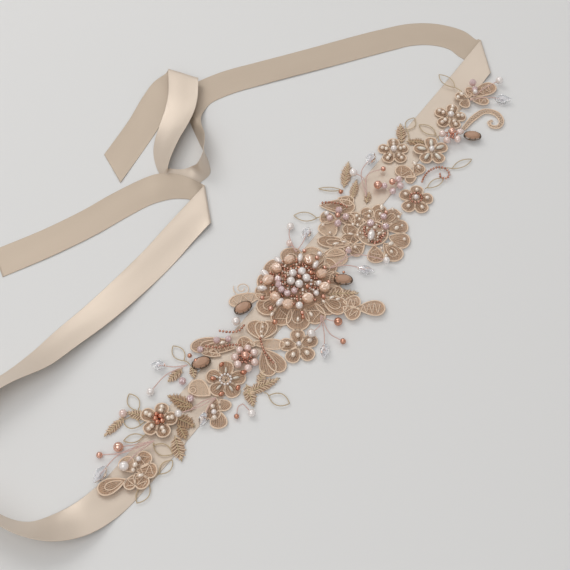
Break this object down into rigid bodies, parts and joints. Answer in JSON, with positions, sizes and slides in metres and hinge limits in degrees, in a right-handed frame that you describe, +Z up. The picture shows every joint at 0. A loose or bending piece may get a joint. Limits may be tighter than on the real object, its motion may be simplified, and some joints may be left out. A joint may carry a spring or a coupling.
{
  "type": "bridal sash",
  "caption": "Narrow satin ribbon sash laid in loose turns on a flat surface, with a beaded lace applique of flowers, leaves and wired sprigs along its front stretch.",
  "frame": {"origin": "on the table, under the middle of the whole sash's box", "axes": "+Z up from the table, +X to the viewer's right along the table, +Y away from the viewer"},
  "size_m": [0.4064, 0.4533, 0.0246],
  "materials": {
    "satin": "soft sheen of satin on the right side",
    "reverse": "dull back of single-faced satin",
    "lace": "corded net lace, matt thread with a pale cord",
    "leaf": "matt embroidery thread in tan and dull gold",
    "pearl": "glossy off-white pearl with peach and copper beads between",
    "pink": "glossy blush pearl",
    "stone": "cut brown stone in a dull metal cup",
    "copper": "polished copper and rose gold beads",
    "wire": "twisted rose gold wire with beads and cut crystals"
  },
  "bodies": {
    "root": {"ribbon_front": "satin", "ribbon_right_fold": "satin", "ribbon_right_run": "reverse", "ribbon_loop": "satin", "ribbon_middle": "satin", "ribbon_top_fold": "satin", "ribbon_tail_a": "reverse", "ribbon_left_curve": "satin", "ribbon_left_turn_out": "satin", "ribbon_left_turn_back": "satin", "ribbon_left_run": "satin", "ribbon_left_fold": "satin", "ribbon_tail_b": "reverse", "lace_flower_end": "lace", "lace_flower_low": "lace", "lace_flower_bugle": "lace", "lace_flower_fore": "lace", "lace_flower_pearl": "lace", "lace_flower_seed": "lace", "lace_flower_tube": "lace", "lace_flower_high": "lace", "lace_flower_tip": "lace", "lace_flower_middle": "lace", "bead_dome": "pearl", "lace_flower_upper": "lace", "lace_flower_opal": "lace", "cluster_low": "pink", "cluster_high": "pink", "stone_right": "stone", "stone_left": "stone", "stone_low": "stone", "stone_high": "stone", "lace_leaf_scallop": "leaf", "lace_petal_fan_low": "lace", "lace_petal_fan_high": "lace", "lace_petal_left": "lace", "lace_petal_curl": "lace", "lace_leaf_fern": "leaf", "lace_leaf_feather": "leaf", "spray_low": "leaf", "spray_end": "leaf", "spray_left": "leaf", "spray_stem": "leaf", "spray_cream": "leaf", "spray_tall": "leaf", "spray_upper": "leaf", "spray_right": "leaf", "lace_scroll": "lace", "sprig_top": "wire", "sprig_right": "wire", "sprig_fore": "wire", "sprig_left": "wire", "sprig_end_low": "wire", "sprig_copper": "wire", "sprig_mid": "wire", "sprig_upper": "wire", "sprig_end_high": "wire", "bead_row": "copper"}
  },
  "joints": []
}
